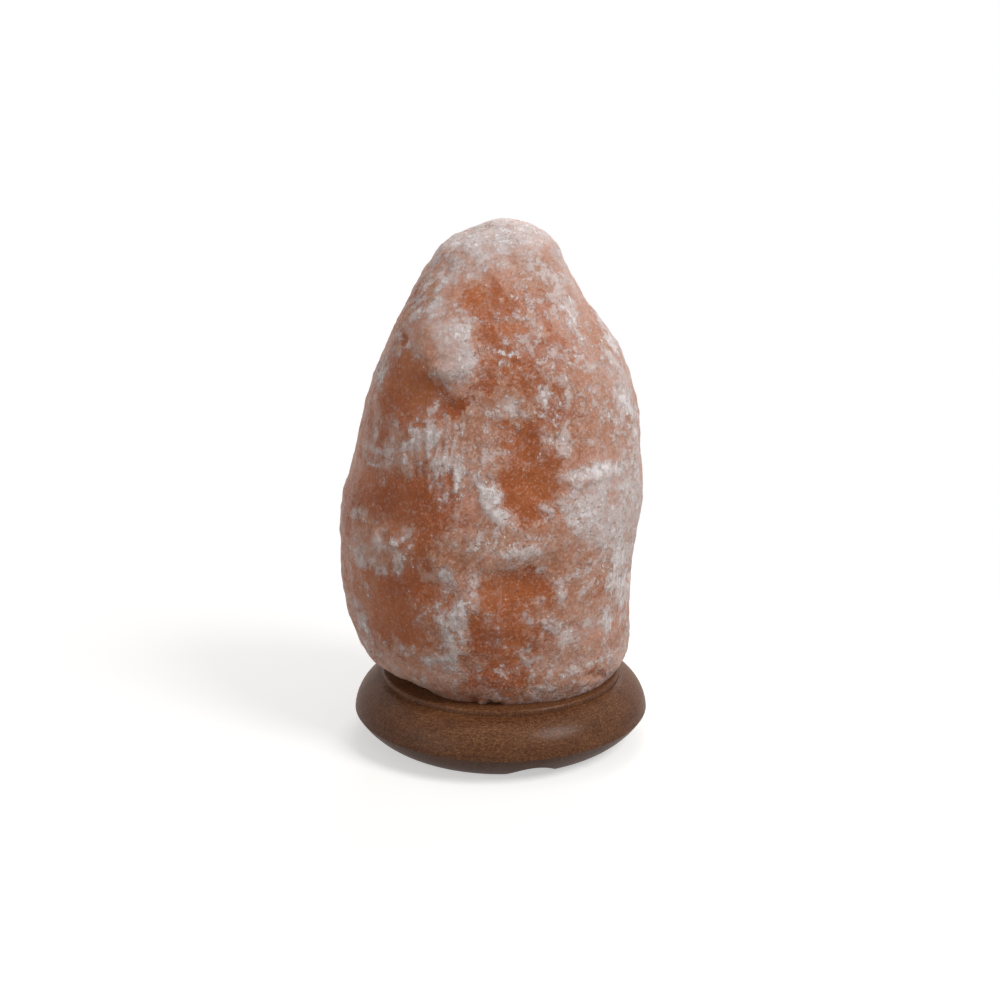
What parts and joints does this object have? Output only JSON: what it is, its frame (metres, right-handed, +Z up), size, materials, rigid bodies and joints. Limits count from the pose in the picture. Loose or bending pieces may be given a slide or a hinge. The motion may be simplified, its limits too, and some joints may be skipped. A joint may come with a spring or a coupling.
{
  "type": "salt crystal lamp",
  "caption": "Hewn pink rock salt crystal on a stepped turned wooden base, with a spring-clipped lampholder and small bulb in its bore.",
  "frame": {"origin": "centre of the base's foot ring, on the plane that the lamp stands on", "axes": "+Z up through the crystal, -Y towards the front, +X to the right as seen from the front"},
  "size_m": [0.1302, 0.1244, 0.219],
  "materials": {
    "rock_salt": "matte",
    "turned_wood": "satin",
    "nylon": "satin",
    "nylon_black": "satin",
    "zinc_steel": "satin",
    "spring_steel": "satin",
    "phenolic": "gloss",
    "brass": "satin",
    "clear_glass": "gloss",
    "vitrite": "gloss",
    "solder": "satin",
    "lead_wire": "satin",
    "tungsten": "satin"
  },
  "bodies": {
    "lamp_fitting": {"flange_plate": "zinc_steel", "right_spring_clip": "spring_steel", "left_spring_clip": "spring_steel", "clip_rivets": "zinc_steel", "threaded_nipple": "zinc_steel", "lock_washer": "zinc_steel", "nipple_locknut": "zinc_steel", "cord_bush": "nylon_black", "holder_cap": "phenolic", "holder_core": "phenolic", "holder_shell": "phenolic", "thread_shell": "brass", "centre_contact": "brass", "contact_rivets": "brass", "terminal_blocks": "brass", "terminal_screws": "zinc_steel"},
    "stone_and_base": {"wooden_base": "turned_wood", "salt_crystal": "rock_salt", "anchor_plugs": "nylon", "anchor_screws": "zinc_steel"},
    "bulb_tip": {"bulb_contact": "solder"},
    "bulb": {"bulb_envelope": "clear_glass", "bulb_cap": "brass", "bulb_insulator": "vitrite", "bulb_stem": "clear_glass", "bulb_leads": "lead_wire", "bulb_filament": "tungsten"}
  },
  "joints": [
    {"name": "stone_lift", "type": "slide", "parent": "lamp_fitting", "child": "stone_and_base", "axis": [0, 0, 1], "range_m": [0, 0.11]},
    {"name": "bulb_rise", "type": "slide", "parent": "lamp_fitting", "child": "bulb_tip", "axis": [0, 0, 1], "range_m": [0, 0.00988]},
    {"name": "bulb_turn", "type": "hinge", "parent": "bulb_tip", "child": "bulb", "pos_m": [0, 0, 0.05], "axis": [0, 0, 1], "range_deg": [0, 1260]}
  ],
  "couplings": [
    {"joint": "bulb_rise", "follows": "bulb_turn", "m_per_rad": 0.00044913}
  ]
}
